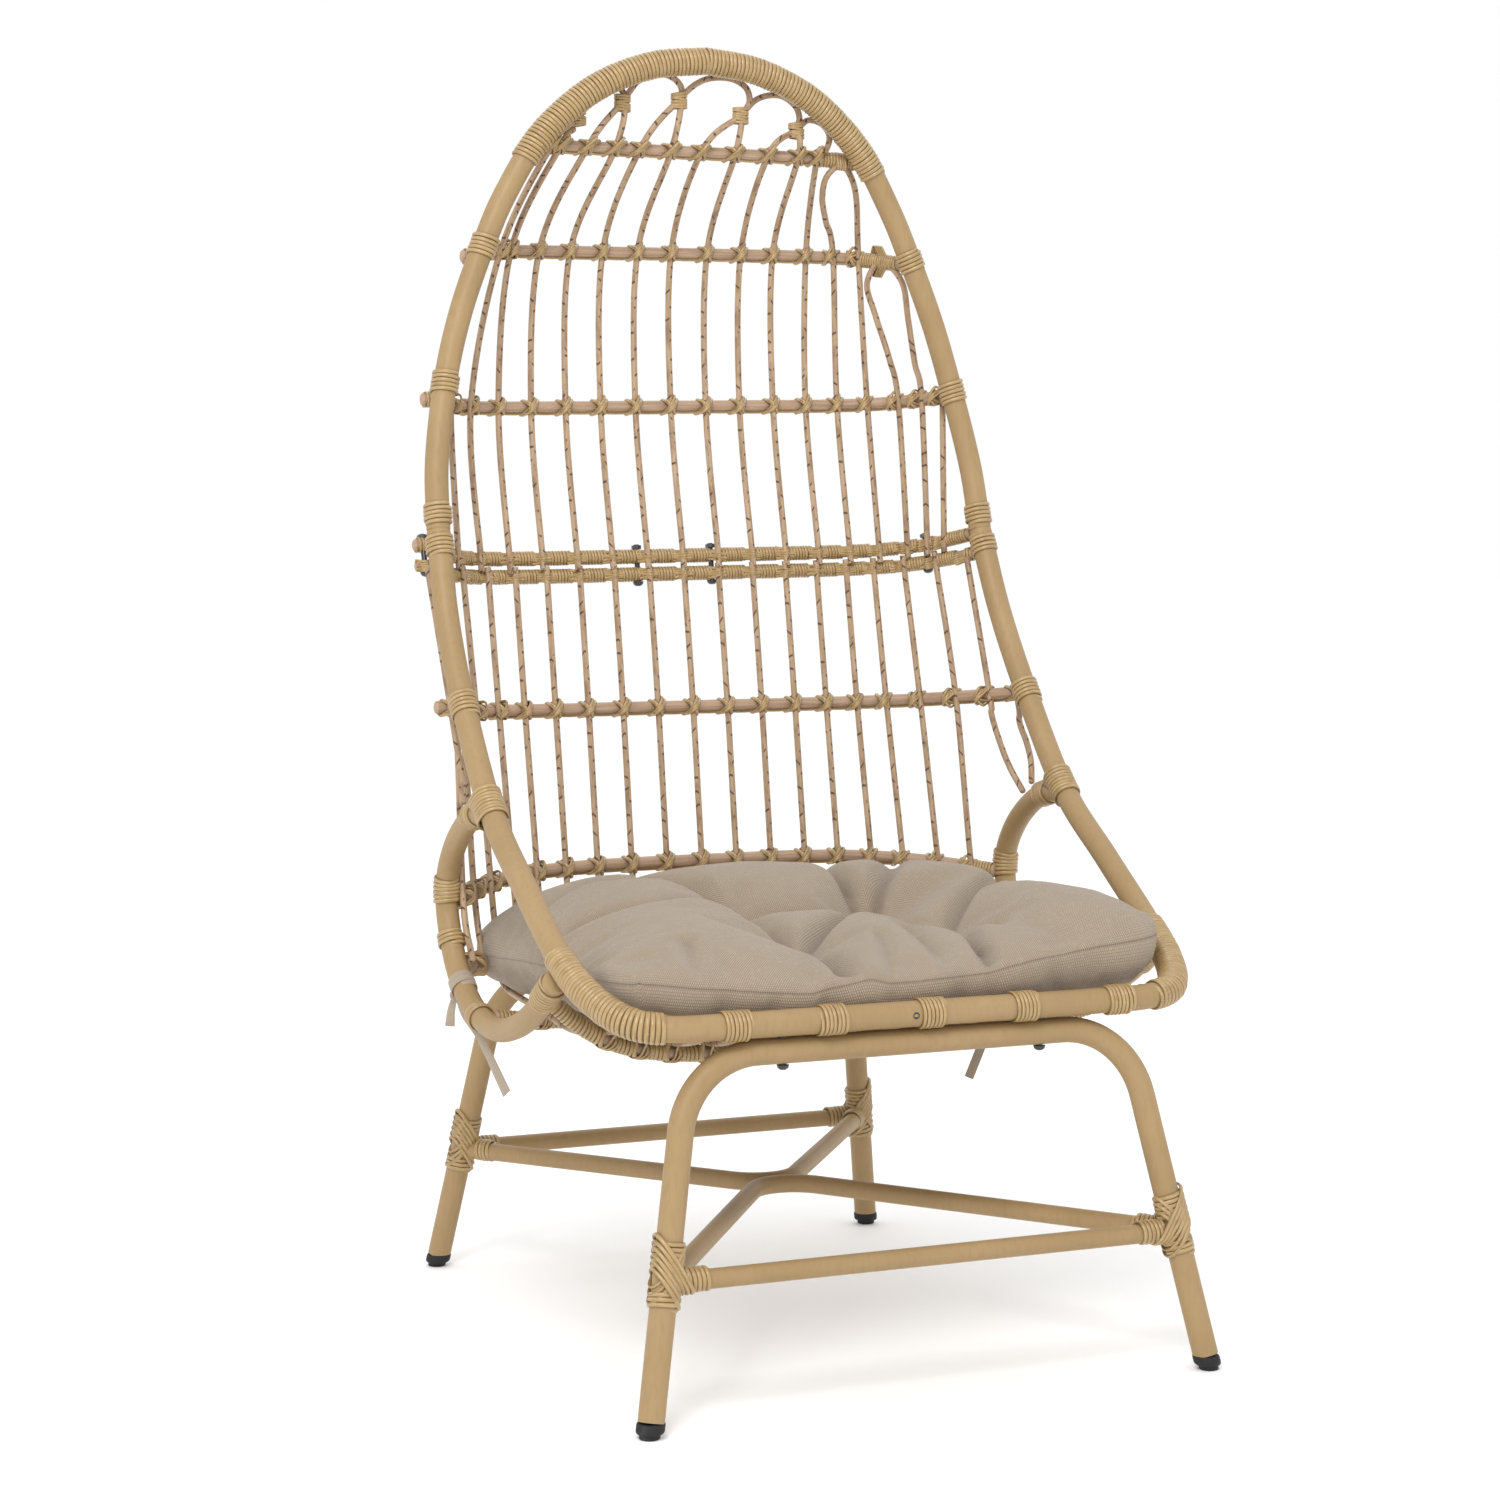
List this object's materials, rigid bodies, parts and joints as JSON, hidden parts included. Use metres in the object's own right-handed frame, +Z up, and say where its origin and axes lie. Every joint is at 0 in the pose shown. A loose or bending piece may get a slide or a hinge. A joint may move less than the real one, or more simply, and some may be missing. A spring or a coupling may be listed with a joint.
{
  "type": "garden lounge chair",
  "caption": "High-backed garden lounge chair: bent-tube rim with bowed bars and thin cane rods, bound with strip, on a four-legged tube base, with a tied seat cushion.",
  "frame": {"origin": "on the floor, at the middle of the footprint of the whole chair", "axes": "+Z up, -Y the way a sitter faces (the open front of the seat), +X the sitter's left"},
  "size_m": [0.6924, 0.7448, 1.3601],
  "materials": {
    "painted_tube": "satin, smooth rattan-coloured coating on steel tube",
    "bare_tube": "plain, hidden inside the tube joint",
    "wrapped_bar": "satin synthetic cane strip over steel bar",
    "speckled_cane": "satin, streaked and ticked with dark brown",
    "binding_strip": "glossy synthetic cane strip",
    "hardware": "black, semi-gloss",
    "foot_rubber": "matt black, moulded",
    "cushion_fabric": "matt, fine basket weave",
    "tie_tape": "matt woven tape"
  },
  "bodies": {
    "chair": {"upper_rim": "painted_tube", "lower_rim": "painted_tube", "rim_spigot_left": "bare_tube", "rim_spigot_right": "bare_tube", "side_bracket_left": "painted_tube", "side_bracket_right": "painted_tube", "back_bar_1": "wrapped_bar", "back_bar_2": "wrapped_bar", "back_bar_3": "wrapped_bar", "back_bar_4": "wrapped_bar", "back_bar_5": "wrapped_bar", "back_bar_6": "wrapped_bar", "seat_back_bar": "wrapped_bar", "rear_seat_bar": "wrapped_bar", "middle_seat_bar": "wrapped_bar", "front_seat_bar": "wrapped_bar", "upper_rods": "speckled_cane", "lower_rods": "speckled_cane", "seat_rods": "speckled_cane", "top_rim_binding": "binding_strip", "corner_binding_left": "binding_strip", "corner_binding_right": "binding_strip", "rim_bindings": "binding_strip", "rail_bindings": "binding_strip", "petal_knots": "binding_strip", "joint_bolts": "hardware", "joint_nuts": "hardware", "front_leg_frame": "painted_tube", "rear_leg_frame": "painted_tube", "front_stretcher": "painted_tube", "rear_stretcher": "painted_tube", "front_brace": "painted_tube", "rear_brace": "painted_tube", "leg_binding_front_left": "binding_strip", "leg_binding_front_right": "binding_strip", "leg_binding_rear_left": "binding_strip", "leg_binding_rear_right": "binding_strip", "foot_front_left": "foot_rubber", "foot_front_right": "foot_rubber", "foot_rear_left": "foot_rubber", "foot_rear_right": "foot_rubber", "rear_lugs": "painted_tube", "front_frame_bolts": "hardware", "rear_frame_bolts": "hardware", "frame_spacers": "hardware", "frame_nuts": "hardware"},
    "cushion": {"seat_cushion": "cushion_fabric", "tie_left": "tie_tape", "tie_right": "tie_tape"}
  },
  "joints": [
    {"name": "cushion_lift_off", "type": "slide", "parent": "chair", "child": "cushion", "axis": [0, -0.8, 0.6], "range_m": [0, 0.62], "deforming": ["tie_left", "tie_right"]}
  ]
}
